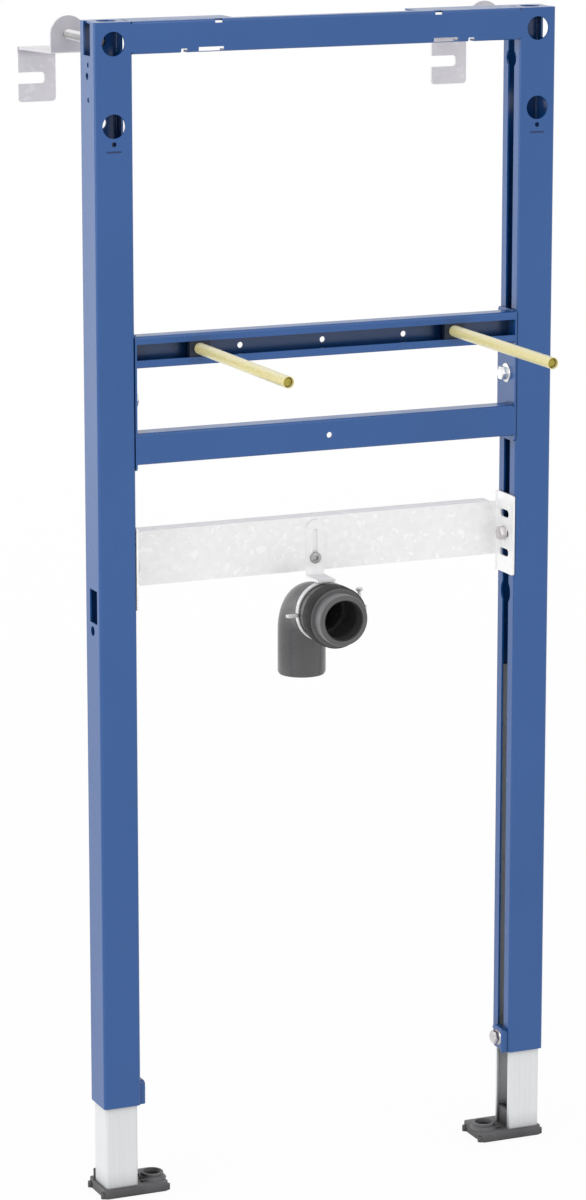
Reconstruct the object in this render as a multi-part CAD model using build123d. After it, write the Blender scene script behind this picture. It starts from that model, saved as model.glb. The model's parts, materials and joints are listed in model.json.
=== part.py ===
# Wall-mounted washbasin installation frame: two lipped steel uprights, a top bar, a basin
# traverse, a waste plate with its pipe clamp and bend, wall brackets and telescopic feet.
# Millimetres, +X to the right, +Y back towards the wall, +Z up. The origin is on the floor,
# midway between the two floor bolt holes.
import os

from build123d import *

# Uprights: lipped channel, its slot facing the middle of the frame
frame_width = 500.0
profile_width = 40.0
profile_depth = 40.0
sheet = 2.0
bend_radius = 3.0
profile_slot = 14.0
upright_length = 1105.0
access_hole_r = 12.0
access_hole_drops = (21.0, 101.0)
spindle_hole_r = 6.5
pilot_hole_r = 2.5
pilot_hole_gap = 5.5
end_cap_hole_r = 10.0
key_slot_width = 18.0
key_slot_depth = 33.0
side_hole_r = 3.5
side_hole_drop = 53.0
dimple_r = 2.5
dimple_depth = 0.8
dimple_drops = (42.0, 76.0)
lug_slot_width = 20.0
lug_slot_height = 34.0
lug_slot_rise = 524.0
lug_slot_y = -3.0
lug_hole_r = 5.0
lug_hole_rise = 498.5
notch_width = 22.0
lower_notch_rise = 499.0
lower_notch_height = 26.0
upper_notch_rise = 1053.0
upper_notch_height = 20.0

# Top bar: channel between the uprights, with deeper flanges on top at its ends
top_bar_height = 32.0
top_bar_flange = 12.0
end_flange_length = 110.0
clip_slot_length = 27.0
clip_slot_height = 4.0
clip_slot_x = 127.0
clip_slot_rise = 3.0
clip_notch_width = 7.0
clip_notch_height = 4.0
clip_notch_x = 155.5
top_notch_width = 8.0
top_notch_height = 4.0
top_notch_x = 119.0

# Basin traverse: upper rail and lower bar between two end plates
rail_rise = 780.0
rail_height = 32.0
rail_depth = 20.0
rail_lip = 8.0
rail_hole_r = 3.0
rail_hole_pitch = 90.0
rail_hole_drop = 2.0
bar_drop = 97.0
bar_height = 32.0
bar_depth = 20.0
bar_hole_r = 3.0
end_plate_thickness = 2.0
end_plate_height = 136.0
end_plate_rise = 729.0
end_plate_corner = 4.0
end_plate_bolt_rise = 730.0

# Basin rods, their sleeves and nuts
rod_pitch = 280.0
rod_r = 5.0
rod_reach = 216.0
rod_tail = 3.0
sleeve_wall = 0.8
sleeve_gap = 0.1
sleeve_overhang = 3.0
rod_nut_width = 22.0
rod_nut_gap = 1.0
rod_nut_thickness = 6.0

# Fasteners in the uprights' slots
bolt_r = 4.0
bolt_hole_gap = 0.5
bolt_head_r = 7.5
bolt_head_height = 5.5
washer_r = 10.0
washer_thickness = 1.6
slide_nut_width = 24.0
slide_nut_height = 30.0
slide_nut_thickness = 6.0

# Waste plate: pressed strip with folded edges and end tabs
waste_plate_rise = 564.0
waste_plate_height = 56.0
waste_flange = 20.0
waste_flange_setback = 9.0
waste_tab_rise = 561.5
waste_tab_height = 84.0
waste_tab_corner = 2.0
waste_tab_slot_width = 8.0
waste_tab_slot_length = 19.0
waste_tab_slot_pitch = 20.6

# Pipe clamp and its bracket
clamp_bracket_width = 20.0
clamp_bracket_sheet = 2.5
clamp_bracket_top = 25.0
clamp_bracket_front = 29.0
clamp_slot_width = 5.5
clamp_slot_top = 13.0
bracket_screw_r = 2.5
bracket_screw_head_r = 6.0
bracket_screw_head_height = 4.0
bracket_screw_drop = 14.5
clamp_y = -8.0
clamp_wall = 1.8
clamp_width = 6.0
clamp_gap = 0.3
clamp_split = 0.8
clamp_pad_width = 12.0
clamp_pad_height = 0.3
clamp_ear = 2.8
clamp_hinge_ear = 12.7
clamp_screw_ear = 17.0
clamp_screw_x = 39.0
clamp_screw_r = 2.0
clamp_screw_head_r = 3.6
clamp_screw_head_height = 3.5
clamp_screw_above = 18.0
clamp_screw_below = 14.0

# Waste bend and its seal
pipe_r = 25.0
pipe_wall = 3.0
waste_axis_rise = 498.0
outlet_y = 50.0
outlet_length = 77.0
bend_centre_radius = 32.0
socket_r = 29.0
socket_wall = 3.5
socket_back_y = 1.0
socket_front_y = -43.0
socket_shoulder = 4.0
collar_r = 32.0
collar_back_y = -24.0
collar_edge = 1.5
outlet_chamfer = 2.0
seal_front_y = -57.0
seal_lip_r = 26.5
seal_bore_r = 20.0
seal_skirt = 8.0
seal_edge = 1.5

# Wall brackets on threaded spindles
spindle_r = 5.0
spindle_tail = 2.0
spindle_nut_r = 11.0
spindle_nut_height = 9.0
spindle_flange_r = 15.0
bracket_sheet = 3.0
bracket_tab_r = 18.5
bracket_tab_y = 104.0
bracket_shelf_drop = 19.0
bracket_reach = 58.0
wall_plate_width = 40.0
wall_plate_offset = -12.5
wall_plate_height = 56.0
wall_plate_corner = 4.0
wall_slot_height = 11.5
wall_slot_length = 28.0
wall_slot_rise = 24.0
wall_slot_corner = 3.0
bracket_fold = 2.5

# Telescopic legs and feet
leg_gap = 0.5
leg_slot = 25.0
leg_length = 504.0
leg_showing = 87.0
foot_thickness = 10.0
foot_length = 70.0
foot_front = 20.0
foot_back = 28.0
foot_corner = 4.0
foot_hole_inset = 59.0
foot_hole_r = 7.0
boss_r = 15.0
boss_top_r = 12.0
boss_height = 3.5
boss_edge = 1.0
corner_lug_r = 3.0
corner_lug_height = 6.0
corner_lug_inset = 5.0
spigot_height = 18.0
spigot_gap = 0.3
spigot_wall = 4.0
heel_height = 11.0
heel_thickness = 2.5
heel_width = 12.0

# Leg clamps at the foot of the uprights
leg_clamp_depth = 6.5
leg_clamp_floor = 3.0
leg_clamp_rim = 3.5
leg_clamp_front = 17.0
leg_clamp_back = 9.0
leg_clamp_height = 25.0
leg_clamp_rise = 12.5
leg_clamp_corner = 5.0
leg_clamp_edge = 2.5
leg_bolt_flange_r = 8.5
leg_nut_thickness = 5.0
leg_nut_width = 29.0
leg_nut_height = 13.0

# Places that follow from the sizes above
upright_bottom = foot_thickness + leg_showing
frame_top = upright_bottom + upright_length
upright_x = frame_width / 2 - profile_width / 2
inner_x = frame_width / 2 - profile_width
front_y = -profile_depth / 2
back_y = profile_depth / 2
rail_z = upright_bottom + rail_rise
bar_z = rail_z - bar_drop
end_plate_z = upright_bottom + end_plate_rise
rail_bolt_z = upright_bottom + end_plate_bolt_rise
waste_plate_z = upright_bottom + waste_plate_rise
waste_tab_z = upright_bottom + waste_tab_rise
waste_axis_z = upright_bottom + waste_axis_rise
spindle_z = frame_top - access_hole_drops[0]
bolt_hole_r = bolt_r + bolt_hole_gap


def along_y(radius, length, x, y, z):
    """A cylinder along Y whose front end is at y."""
    return Pos(x, y + length / 2, z) * Rot(90, 0, 0) * Cylinder(radius, length)


def along_x(radius, length, x, y, z):
    """A cylinder along X whose left end is at x."""
    return Pos(x + length / 2, y, z) * Rot(0, 90, 0) * Cylinder(radius, length)


def upright_z(radius, length, x, y, z):
    """A cylinder along Z standing on z."""
    return Pos(x, y, z + length / 2) * Cylinder(radius, length)


def block(x0, x1, y0, y1, z0, z1):
    """A box between two corners."""
    return Pos((x0 + x1) / 2, (y0 + y1) / 2, (z0 + z1) / 2) * Box(x1 - x0, y1 - y0, z1 - z0)


def lipped_channel(width, depth, wall, bend, slot, length):
    """A lipped channel standing on Z = 0, its slot facing +X."""
    section = RectangleRounded(width, depth, bend)
    section -= RectangleRounded(width - 2 * wall, depth - 2 * wall, bend - wall)
    section -= Pos(width / 2, 0) * Rectangle(4 * wall, slot)
    return extrude(section, amount=length)


def open_channel(depth, height, wall, bend, half_length):
    """A channel along X centred on its middle, its web at Y = 0 and open towards +Y."""
    section = RectangleRounded(2 * depth, height, bend)
    section -= RectangleRounded(2 * (depth - wall), height - 2 * wall, bend - wall)
    section &= Pos(-depth / 2, 0) * Rectangle(depth, 2 * height)
    return Pos(-half_length, depth, 0) * extrude(Plane.YZ * section, amount=2 * half_length)


def mirrored(solid):
    """The right-hand piece of a left-hand one."""
    return mirror(solid, about=Plane.YZ)


def make_upright():
    """Left upright: roll-formed channel with its punched holes and a welded end cap."""
    body = lipped_channel(profile_width, profile_depth, sheet, bend_radius, profile_slot, upright_length)
    body = Pos(-upright_x, 0, upright_bottom) * body
    cap = block(-upright_x - profile_width / 2 + sheet, -inner_x - sheet, front_y + sheet, back_y - sheet,
                frame_top - sheet, frame_top)
    body += cap - upright_z(end_cap_hole_r, 3 * sheet, -upright_x, 0, frame_top - 2 * sheet)
    for drop in access_hole_drops:
        body -= along_y(access_hole_r, 3 * sheet, -upright_x, front_y - sheet, frame_top - drop)
        body -= along_y(spindle_hole_r, 3 * sheet, -upright_x, back_y - 2 * sheet, frame_top - drop)
    pilot_z = frame_top - access_hole_drops[1] - access_hole_r - pilot_hole_gap
    body -= along_y(pilot_hole_r, 3 * sheet, -upright_x, front_y - sheet, pilot_z)
    outer = -frame_width / 2
    body -= block(outer - sheet, outer + sheet, -key_slot_width / 2, key_slot_width / 2,
                  frame_top - key_slot_depth, frame_top + sheet)
    body -= along_x(side_hole_r, 3 * sheet, outer - sheet, 0, frame_top - side_hole_drop)
    for drop in dimple_drops:
        body -= along_x(dimple_r, 2 * dimple_depth, outer - dimple_depth, lug_slot_y, frame_top - drop)
    body -= along_x(lug_hole_r, 3 * sheet, outer - sheet, 0, upright_bottom + lug_hole_rise)
    lug_z = upright_bottom + lug_slot_rise
    body -= block(outer - sheet, outer + 2 * sheet, lug_slot_y - lug_slot_width / 2,
                  lug_slot_y + lug_slot_width / 2, lug_z - lug_slot_height / 2, lug_z + lug_slot_height / 2)
    for rise, height in ((lower_notch_rise, lower_notch_height), (upper_notch_rise, upper_notch_height)):
        notch = extrude(Plane.YZ * Ellipse(notch_width / 2, height / 2), amount=2 * sheet, both=True)
        body -= Pos(-inner_x, 0, upright_bottom + rise) * notch
    return body


def make_top_bar():
    """Top bar: channel open to the back, deeper flanges at its ends, punched clip openings."""
    bottom = frame_top - top_bar_height
    half = inner_x
    bar = Pos(0, front_y, bottom + top_bar_height / 2) * open_channel(
        top_bar_flange, top_bar_height, sheet, bend_radius, half)
    for side in (-1, 1):
        x0, x1 = sorted((side * (half - end_flange_length), side * half))
        bar += block(x0, x1, front_y + bend_radius, back_y, frame_top - sheet, frame_top)
        x = side * clip_slot_x
        slot_z = bottom + clip_slot_rise
        slot_x0, slot_x1 = x - clip_slot_length / 2, x + clip_slot_length / 2
        slot_top = slot_z + clip_slot_height / 2
        bar -= block(slot_x0, slot_x1, front_y - sheet, back_y, slot_z - clip_slot_height / 2, slot_top)
        bar -= block(slot_x0, slot_x1, front_y + bend_radius, back_y, bottom - sheet, slot_top)
        x = side * clip_notch_x
        bar -= block(x - clip_notch_width / 2, x + clip_notch_width / 2, front_y - sheet, back_y,
                     bottom - sheet, bottom + clip_notch_height)
        x = side * top_notch_x
        bar -= block(x - top_notch_width / 2, x + top_notch_width / 2, front_y - sheet,
                     front_y + 2 * sheet, frame_top - top_notch_height, frame_top + sheet)
    return bar


def rail_half_length():
    """Half the clear length between the traverse's end plates."""
    return inner_x - end_plate_thickness


def make_basin_rail():
    """Upper rail: channel open to the front, with lips that hold the rods' nuts."""
    half = rail_half_length()
    section = RectangleRounded(rail_depth, rail_height, bend_radius)
    section -= RectangleRounded(rail_depth - 2 * sheet, rail_height - 2 * sheet, bend_radius - sheet)
    section -= Pos(-rail_depth / 2, 0) * Rectangle(4 * sheet, rail_height - 2 * rail_lip)
    rail = Pos(-half, front_y + rail_depth / 2, rail_z) * extrude(Plane.YZ * section, amount=2 * half)
    web_y = front_y + rail_depth - 2 * sheet
    for x in (-rail_hole_pitch, 0, rail_hole_pitch):
        rail -= along_y(rail_hole_r, 4 * sheet, x, web_y, rail_z - rail_hole_drop)
    for side in (-1, 1):
        rail -= along_y(rod_r + bolt_hole_gap, 4 * sheet, side * rod_pitch / 2, web_y, rail_z)
    return rail


def make_lower_bar():
    """Lower bar: channel open to the back with a flat front."""
    half = rail_half_length()
    bar = Pos(0, front_y, bar_z) * open_channel(bar_depth, bar_height, sheet, bend_radius, half)
    return bar - along_y(bar_hole_r, 4 * sheet, 0, front_y - sheet, bar_z)


def make_end_plate():
    """Left end plate of the traverse, flat on the upright's inner face."""
    plate = extrude(Plane.YZ * RectangleRounded(profile_depth, end_plate_height, end_plate_corner),
                    amount=end_plate_thickness)
    plate = Pos(-inner_x, 0, end_plate_z) * plate
    start_x = -inner_x - end_plate_thickness
    return plate - along_x(bolt_hole_r, 3 * end_plate_thickness, start_x, 0, rail_bolt_z)


def make_slot_bolt(z, seat, flange_r):
    """Left bolt through an upright's slot: hexagon head on a round flange, shank to the nut."""
    tip = -inner_x - sheet - slide_nut_thickness
    flange = along_x(flange_r, washer_thickness, seat, 0, z)
    head = Pos(seat + washer_thickness, 0, z) * extrude(
        Plane.YZ * RegularPolygon(bolt_head_r, 6), amount=bolt_head_height)
    return flange + head + along_x(bolt_r, seat - tip, tip, 0, z)


def make_slide_nut(z):
    """Left slide nut behind the upright's lips."""
    x1 = -inner_x - sheet
    nut = block(x1 - slide_nut_thickness, x1, -slide_nut_width / 2, slide_nut_width / 2,
                z - slide_nut_height / 2, z + slide_nut_height / 2)
    return nut - along_x(bolt_r, 2 * slide_nut_thickness, x1 - 1.5 * slide_nut_thickness, 0, z)


def make_rod(x):
    """Threaded basin rod, from the rail's web to its tip in front."""
    tip_y = front_y - rod_reach
    return along_y(rod_r, front_y + rail_depth + rod_tail - tip_y, x, tip_y, rail_z)


def make_sleeve(x):
    """Plastic sleeve over a basin rod, open at its tip."""
    inner = rod_r + sleeve_gap
    start_y = front_y - rod_reach - sleeve_overhang
    length = front_y + sheet - start_y
    tube = along_y(inner + sleeve_wall, length, x, start_y, rail_z)
    return tube - along_y(inner, 2 * length, x, start_y - length / 2, rail_z)


def make_rod_nut(x):
    """Square slide nut inside the rail, behind its lips."""
    height = rail_height - 2 * sheet - 2 * rod_nut_gap
    y0 = front_y + sheet
    nut = block(x - rod_nut_width / 2, x + rod_nut_width / 2, y0, y0 + rod_nut_thickness,
                rail_z - height / 2, rail_z + height / 2)
    return nut - along_y(rod_r, 3 * rod_nut_thickness, x, y0 - rod_nut_thickness, rail_z)


def make_waste_plate():
    """Pressed strip between the uprights: folded edges and a slotted tab on each inner face."""
    half_height = waste_plate_height / 2
    span = 2 * profile_depth
    plan = RectangleRounded(2 * inner_x, span, bend_radius)
    plan -= RectangleRounded(2 * (inner_x - sheet), span - 2 * sheet, bend_radius - sheet)
    plan = Pos(0, back_y - span / 2) * plan
    plan &= Pos(0, (front_y + back_y) / 2) * Rectangle(2 * frame_width, profile_depth)
    plate = Pos(0, 0, waste_tab_z - waste_tab_height / 2) * extrude(plan, amount=waste_tab_height)
    clear = inner_x - bend_radius
    tab_low, tab_high = waste_tab_z - waste_tab_height, waste_tab_z + waste_tab_height
    plate -= block(-clear, clear, front_y, 2 * back_y, tab_low, waste_plate_z - half_height)
    plate -= block(-clear, clear, front_y, 2 * back_y, waste_plate_z + half_height, tab_high)
    plate += Pos(0, back_y - sheet, waste_plate_z) * open_channel(
        waste_flange, waste_plate_height, sheet, bend_radius, inner_x - waste_flange_setback)
    for side in (-1, 1):
        corners = extrude(Plane.YZ * RectangleRounded(profile_depth, waste_tab_height, waste_tab_corner),
                          amount=2 * bend_radius, both=True)
        ends = extrude(Plane.YZ * Rectangle(profile_depth, waste_tab_height), amount=2 * bend_radius,
                       both=True)
        plate -= Pos(side * inner_x, 0, waste_tab_z) * (ends - corners)
        for step in (-1, 0, 1):
            slot = extrude(Plane.YZ * SlotOverall(waste_tab_slot_length, waste_tab_slot_width),
                           amount=3 * sheet, both=True)
            plate -= Pos(side * inner_x, 0, waste_tab_z + step * waste_tab_slot_pitch) * slot
    screw_z = waste_plate_z - bracket_screw_drop
    return plate - along_y(bracket_screw_r, 4 * sheet, 0, back_y - 2 * sheet, screw_z)


def make_clamp_bracket():
    """Angle that hangs the pipe clamp from the strip: slotted leg and a shelf to the front."""
    front = back_y - sheet - clamp_bracket_sheet
    shelf_z = waste_axis_z + socket_r + clamp_gap + clamp_wall + clamp_pad_height
    top = waste_plate_z + clamp_bracket_top
    leg = block(-clamp_bracket_width / 2, clamp_bracket_width / 2, front, back_y - sheet,
                shelf_z, top - clamp_bracket_width / 2)
    leg += along_y(clamp_bracket_width / 2, clamp_bracket_sheet, 0, front, top - clamp_bracket_width / 2)
    screw_z = waste_plate_z - bracket_screw_drop
    low, high = screw_z, waste_plate_z + clamp_slot_top
    leg -= block(-clamp_slot_width / 2, clamp_slot_width / 2, front - sheet, back_y, low, high)
    for z in (low, high):
        leg -= along_y(clamp_slot_width / 2, 4 * clamp_bracket_sheet, 0, front - clamp_bracket_sheet, z)
    shelf = block(-clamp_bracket_width / 2, clamp_bracket_width / 2, front - clamp_bracket_front,
                  back_y - sheet, shelf_z, shelf_z + clamp_bracket_sheet)
    return leg + shelf


def make_bracket_screw():
    """Screw that holds the clamp bracket to the strip."""
    z = waste_plate_z - bracket_screw_drop
    front = back_y - sheet - clamp_bracket_sheet
    head = along_y(bracket_screw_head_r, bracket_screw_head_height, 0, front - bracket_screw_head_height, z)
    return head + along_y(bracket_screw_r, clamp_bracket_sheet + sheet, 0, front, z)


def make_clamp_half(upper):
    """Half of the clamp on the bend's socket: a pad on the upper one, a hinge lug on the lower one."""
    side = 1 if upper else -1
    inner = socket_r + clamp_gap
    outer = inner + clamp_wall
    band = along_y(outer, clamp_width, 0, -clamp_width / 2, 0)
    band += block(-clamp_pad_width / 2, clamp_pad_width / 2, -clamp_width / 2, clamp_width / 2,
                  0, outer + clamp_pad_height)
    z0, z1 = sorted((side * clamp_split / 2, side * (clamp_split / 2 + clamp_ear)))
    hinge = 0 if upper else inner + clamp_hinge_ear
    reach = inner + clamp_screw_ear
    band += block(-hinge, reach, -clamp_width / 2, clamp_width / 2, z0, z1)
    band -= along_y(inner, 3 * clamp_width, 0, -1.5 * clamp_width, 0)
    keep0, keep1 = sorted((side * clamp_split / 2, side * 2 * outer))
    band &= block(-2 * reach, 2 * reach, -clamp_width, clamp_width, keep0, keep1)
    band -= upright_z(clamp_screw_r, 4 * clamp_ear, clamp_screw_x, 0, -2 * clamp_ear)
    return Pos(0, clamp_y, waste_axis_z) * band


def make_clamp_screw():
    """Long screw through the clamp's right ears."""
    shank = upright_z(clamp_screw_r, clamp_screw_above + clamp_screw_below, clamp_screw_x, clamp_y,
                      waste_axis_z - clamp_screw_below)
    head = Pos(clamp_screw_x, clamp_y, waste_axis_z + clamp_screw_above) * extrude(
        RegularPolygon(clamp_screw_head_r, 6), amount=clamp_screw_head_height)
    return shank + head


def bend_pipe(radius, start_y, drop):
    """Solid pipe run: back along Y from start_y, round the bend and down by drop."""
    turn_y = outlet_y - bend_centre_radius
    run = along_y(radius, turn_y - start_y, 0, start_y, 0)
    arc = revolve(Plane.XZ.offset(-turn_y) * Circle(radius),
                  Axis((0, turn_y, -bend_centre_radius), (1, 0, 0)), -90)
    fall = upright_z(radius, drop - bend_centre_radius, 0, outlet_y, -drop)
    return run + arc + fall


def make_waste_bend():
    """Waste bend: socket to the front, quarter bend, plain spigot downwards."""
    bend = bend_pipe(pipe_r, socket_back_y, outlet_length)
    socket = along_y(socket_r, socket_back_y - socket_front_y, 0, socket_front_y, 0)
    back_edge = socket.edges().filter_by(GeomType.CIRCLE).sort_by(Axis.Y)[-1]
    bend += chamfer(back_edge, socket_shoulder, socket_r - pipe_r)
    collar = along_y(collar_r, collar_back_y - socket_front_y, 0, socket_front_y, 0)
    bend += fillet(collar.edges().filter_by(GeomType.CIRCLE), collar_edge)
    outlet_edge = bend.edges().filter_by(GeomType.CIRCLE).sort_by(Axis.Z)[0]
    bend = chamfer(outlet_edge, outlet_chamfer, outlet_chamfer / 2)
    bend -= bend_pipe(pipe_r - pipe_wall, socket_front_y - pipe_r, outlet_length + pipe_wall)
    bend -= along_y(socket_r - socket_wall, socket_back_y - socket_front_y - socket_shoulder, 0,
                    socket_front_y, 0)
    return Pos(0, 0, waste_axis_z) * bend


def make_waste_seal():
    """Rubber sealing ring in the socket's mouth."""
    skirt_r = socket_r - socket_wall
    ring = along_y(seal_lip_r, socket_front_y - seal_front_y, 0, seal_front_y, 0)
    ring += along_y(skirt_r, seal_skirt, 0, socket_front_y, 0)
    front_edge = ring.edges().filter_by(GeomType.CIRCLE).sort_by(Axis.Y)[0]
    ring = fillet(front_edge, seal_edge)
    ring -= along_y(seal_bore_r, 3 * seal_skirt, 0, seal_front_y - sheet, 0)
    return Pos(0, 0, waste_axis_z) * ring


def make_wall_bracket(x):
    """Pressed wall bracket: round tab on the spindle, shelf, slotted wall plate."""
    shelf_z = spindle_z - bracket_shelf_drop
    tab_back = bracket_tab_y + bracket_sheet
    tab = along_y(bracket_tab_r, bracket_sheet, 0, bracket_tab_y, spindle_z)
    tab += block(-bracket_tab_r, bracket_tab_r, bracket_tab_y, tab_back, shelf_z, spindle_z)
    wall_y = tab_back + bracket_reach
    left = wall_plate_offset - wall_plate_width / 2
    right = wall_plate_offset + wall_plate_width / 2
    shelf = Pos(0, 0, shelf_z) * extrude(
        Polygon((-bracket_tab_r, bracket_tab_y), (bracket_tab_r, bracket_tab_y), (right, wall_y),
                (left, wall_y), align=None), amount=bracket_sheet)
    bottom = shelf_z + bracket_sheet - wall_plate_height
    plate = block(left, right, wall_y - bracket_sheet, wall_y, bottom, shelf_z + bracket_sheet)
    corners = plate.edges().filter_by(Axis.Y).sort_by(Axis.Z)[:2]
    plate = fillet(corners, wall_plate_corner)
    slot_z = bottom + wall_slot_rise
    slot = block(left - sheet, left + wall_slot_length, wall_y - 2 * bracket_sheet, wall_y + bracket_sheet,
                 slot_z - wall_slot_height / 2, slot_z + wall_slot_height / 2)
    plate -= fillet(slot.edges().filter_by(Axis.Y).sort_by(Axis.X)[-2:], wall_slot_corner)
    folded = tab + shelf + plate
    folds = [edge for edge in folded.edges().filter_by(Axis.X)
             if abs(edge.center().Y - bracket_tab_y) + abs(edge.center().Z - shelf_z) < sheet / 2
             or abs(edge.center().Y - wall_y) + abs(edge.center().Z - shelf_z - bracket_sheet) < sheet / 2]
    folded = fillet(folds, bracket_fold)
    folded -= along_y(spindle_r, 4 * bracket_sheet, 0, bracket_tab_y - bracket_sheet, spindle_z)
    return Pos(x, 0, 0) * folded


def make_spindle(x):
    """Threaded spindle from the upright's back wall to the wall bracket's tab."""
    start_y = back_y - sheet - spindle_tail
    return along_y(spindle_r, bracket_tab_y + bracket_sheet - start_y, x, start_y, spindle_z)


def make_spindle_nut(x):
    """Flanged nut that seats the spindle on the upright's back."""
    body = Pos(x, back_y + spindle_nut_height, spindle_z) * extrude(
        Plane.XZ * RegularPolygon(spindle_nut_r, 6), amount=spindle_nut_height)
    body += along_y(spindle_flange_r, sheet, x, back_y, spindle_z)
    return body - along_y(spindle_r, 4 * spindle_nut_height, x, 0, spindle_z)


def make_leg():
    """Left telescopic leg: galvanised lipped channel inside the upright."""
    width = profile_width - 2 * sheet - 2 * leg_gap
    depth = profile_depth - 2 * sheet - 2 * leg_gap
    leg = lipped_channel(width, depth, sheet, bend_radius, leg_slot, leg_length)
    return Pos(-upright_x, 0, foot_thickness) * leg


def make_foot():
    """Left foot: base plate with a bolt boss, a spigot in the leg and a heel clip."""
    outer = -frame_width / 2
    inner = outer + foot_length
    plate = block(outer, inner, -foot_front, foot_back, 0, foot_thickness)
    plate = fillet(plate.edges().filter_by(Axis.Z), foot_corner)
    hole_x = outer + foot_hole_inset
    boss = Pos(hole_x, 0, foot_thickness + boss_height / 2) * Cone(boss_r, boss_top_r, boss_height)
    boss = fillet(boss.edges().filter_by(GeomType.CIRCLE).sort_by(Axis.Z)[-1], boss_edge)
    for x in (outer, inner):
        for y in (corner_lug_inset - foot_front, foot_back - corner_lug_inset):
            plate += upright_z(corner_lug_r, corner_lug_height, x, y, 0)
    inside_x = profile_width - 4 * sheet - 2 * leg_gap - 2 * spigot_gap
    inside_y = profile_depth - 4 * sheet - 2 * leg_gap - 2 * spigot_gap
    spigot = Box(inside_x, inside_y, spigot_height) - Box(
        inside_x - 2 * spigot_wall, inside_y - 2 * spigot_wall, 2 * spigot_height)
    spigot = Pos(-upright_x, 0, foot_thickness + spigot_height / 2) * spigot
    leg_back = profile_depth / 2 - sheet - leg_gap
    heel = block(outer + sheet, outer + sheet + heel_width, leg_back + spigot_gap,
                 leg_back + spigot_gap + heel_thickness, foot_thickness, foot_thickness + heel_height)
    foot = plate + boss + spigot + heel
    return foot - upright_z(foot_hole_r, 4 * foot_thickness, hole_x, 0, -foot_thickness)


def make_leg_clamp():
    """Left leg clamp: pressed hood over the upright's slot, open downwards and to the back."""
    z = upright_bottom + leg_clamp_rise
    bottom, top = z - leg_clamp_height / 2, z + leg_clamp_height / 2
    hood = block(-inner_x, -inner_x + leg_clamp_depth, -leg_clamp_front, leg_clamp_back, bottom, top)
    hood = fillet(hood.edges().filter_by(Axis.X).sort_by(Axis.Z)[-2:], leg_clamp_corner)
    rim = [edge for edge in hood.faces().sort_by(Axis.X)[-1].edges() if edge.center().Z > bottom + sheet]
    hood = fillet(rim, leg_clamp_edge)
    pocket = block(-inner_x + leg_clamp_floor, -inner_x + 2 * leg_clamp_depth, leg_clamp_rim - leg_clamp_front,
                   2 * leg_clamp_back, bottom - leg_clamp_rim, top - leg_clamp_rim)
    hood -= pocket
    return hood - along_x(bolt_hole_r, 3 * leg_clamp_floor, -inner_x - leg_clamp_floor, 0, z)


def leg_nut_face():
    return -inner_x - sheet - leg_gap - sheet - leg_gap


def make_leg_clamp_bolt():
    """Left clamp bolt through both slots into the nut inside the leg."""
    z = upright_bottom + leg_clamp_rise
    seat = -inner_x + leg_clamp_floor
    tip = leg_nut_face() - leg_nut_thickness
    flange = along_x(leg_bolt_flange_r, washer_thickness, seat, 0, z)
    head = Pos(seat + washer_thickness, 0, z) * extrude(
        Plane.YZ * RegularPolygon(bolt_head_r, 6), amount=bolt_head_height)
    return flange + head + along_x(bolt_r, seat - tip, tip, 0, z)


def make_leg_nut():
    """Left clamp nut inside the leg, behind its lips."""
    z = upright_bottom + leg_clamp_rise
    face = leg_nut_face()
    nut = block(face - leg_nut_thickness, face, -leg_nut_width / 2, leg_nut_width / 2,
                z - leg_nut_height / 2, z + leg_nut_height / 2)
    return nut - along_x(bolt_r, 3 * leg_nut_thickness, face - 2 * leg_nut_thickness, 0, z)


pieces = {
    "top_bar": make_top_bar(),
    "basin_rail": make_basin_rail(),
    "lower_bar": make_lower_bar(),
    "waste_plate": make_waste_plate(),
    "clamp_bracket": make_clamp_bracket(),
    "clamp_bracket_screw": make_bracket_screw(),
    "clamp_upper_half": make_clamp_half(True),
    "clamp_lower_half": make_clamp_half(False),
    "clamp_screw": make_clamp_screw(),
    "waste_bend": make_waste_bend(),
    "waste_seal": make_waste_seal(),
}

left_hand = {
    "upright": make_upright(),
    "rail_end_plate": make_end_plate(),
    "rail_bolt": make_slot_bolt(rail_bolt_z, -inner_x + end_plate_thickness, washer_r),
    "rail_nut": make_slide_nut(rail_bolt_z),
    "waste_plate_bolt": make_slot_bolt(waste_tab_z, -inner_x + sheet, bolt_head_r),
    "waste_plate_nut": make_slide_nut(waste_tab_z),
    "leg": make_leg(),
    "foot": make_foot(),
    "leg_clamp": make_leg_clamp(),
    "leg_clamp_bolt": make_leg_clamp_bolt(),
    "leg_clamp_nut": make_leg_nut(),
}
for name, solid in left_hand.items():
    pieces["left_" + name] = solid
    pieces["right_" + name] = mirrored(solid)

for side, sign in (("left", -1), ("right", 1)):
    pieces[side + "_basin_rod"] = make_rod(sign * rod_pitch / 2)
    pieces[side + "_rod_sleeve"] = make_sleeve(sign * rod_pitch / 2)
    pieces[side + "_rod_nut"] = make_rod_nut(sign * rod_pitch / 2)
    pieces[side + "_wall_bracket"] = make_wall_bracket(sign * upright_x)
    pieces[side + "_wall_spindle"] = make_spindle(sign * upright_x)
    pieces[side + "_spindle_nut"] = make_spindle_nut(sign * upright_x)

os.makedirs("parts", exist_ok=True)
for name, solid in pieces.items():
    export_step(solid, "parts/" + name + ".step")
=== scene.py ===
import bpy
import bmesh
import json
from math import pi, radians
from mathutils import Matrix, Vector


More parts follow.
